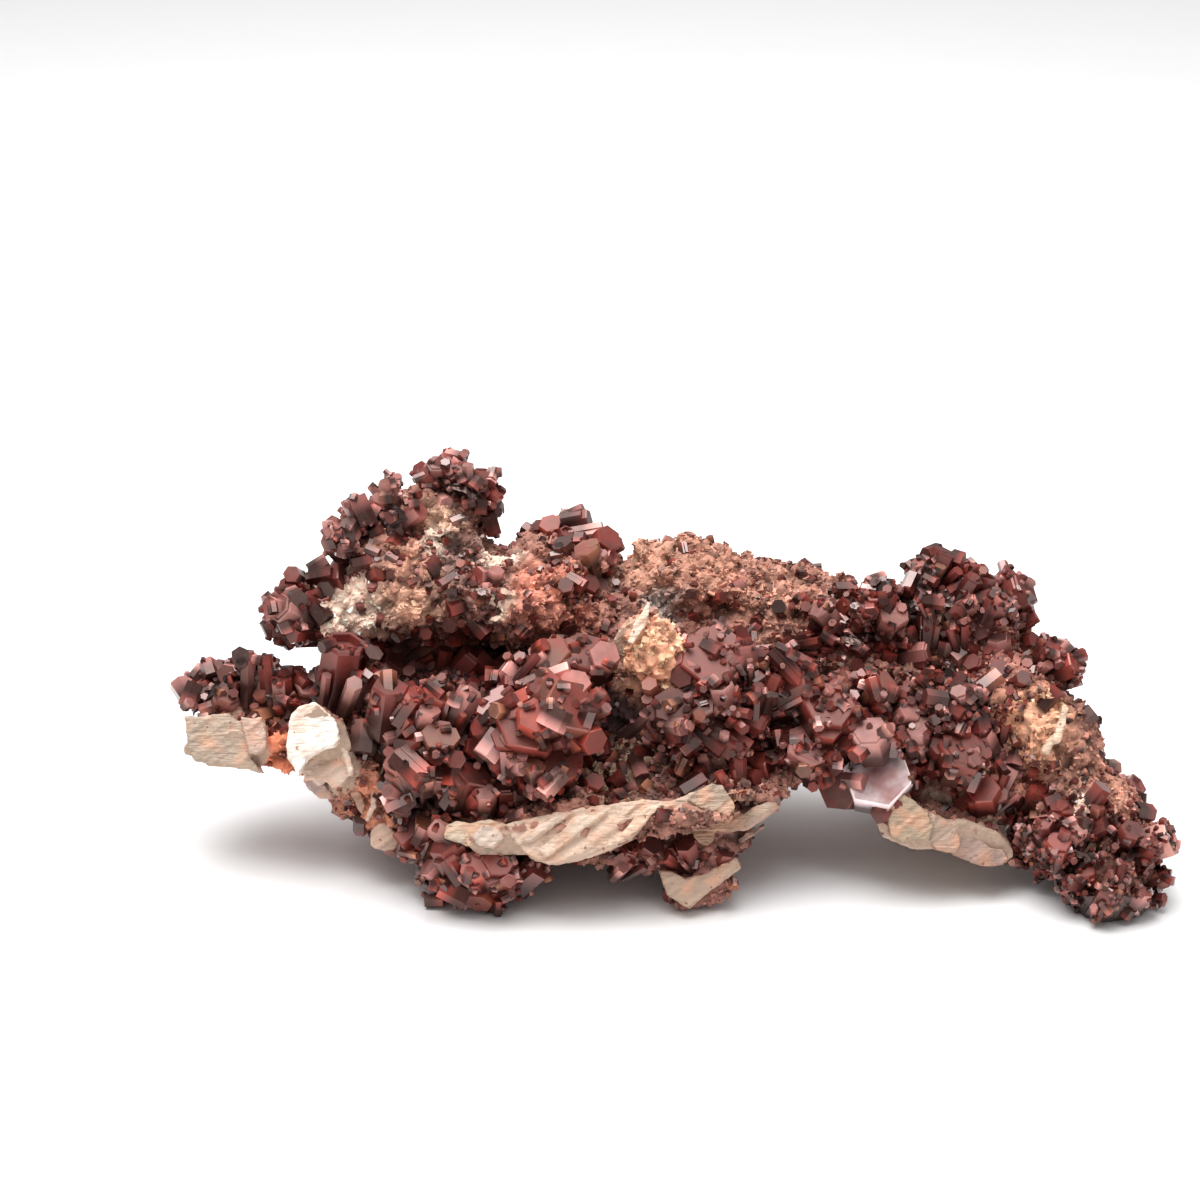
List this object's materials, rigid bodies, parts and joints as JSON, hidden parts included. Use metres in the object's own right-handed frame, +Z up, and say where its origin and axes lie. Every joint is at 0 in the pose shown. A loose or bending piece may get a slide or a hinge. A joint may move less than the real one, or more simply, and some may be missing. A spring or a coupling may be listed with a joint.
{
  "type": "vanadinite on barite mineral specimen",
  "caption": "Arched rough barite specimen crusted with dark red hexagonal vanadinite crystals, resting on its feet with bare cream barite ledges in front.",
  "frame": {"origin": "under the middle of the specimen, on the surface that it rests on", "axes": "+X along the specimen towards the right of its show side, +Y away from the show side, +Z up"},
  "size_m": [0.1536, 0.0566, 0.0586],
  "materials": {
    "barite": "cream barite under a rough brown and orange iron-stained druse",
    "vanadinite": "dark red-brown crystals with bright, nearly adamantine flat faces"
  },
  "bodies": {
    "root": {"barite_matrix": "barite", "vanadinite_arm": "vanadinite", "vanadinite_edge": "vanadinite", "vanadinite_notch": "vanadinite", "vanadinite_shoulder": "vanadinite", "vanadinite_peak": "vanadinite", "vanadinite_front": "vanadinite", "vanadinite_centre": "vanadinite", "vanadinite_ridge": "vanadinite", "vanadinite_knob": "vanadinite", "vanadinite_leg": "vanadinite"}
  },
  "joints": []
}
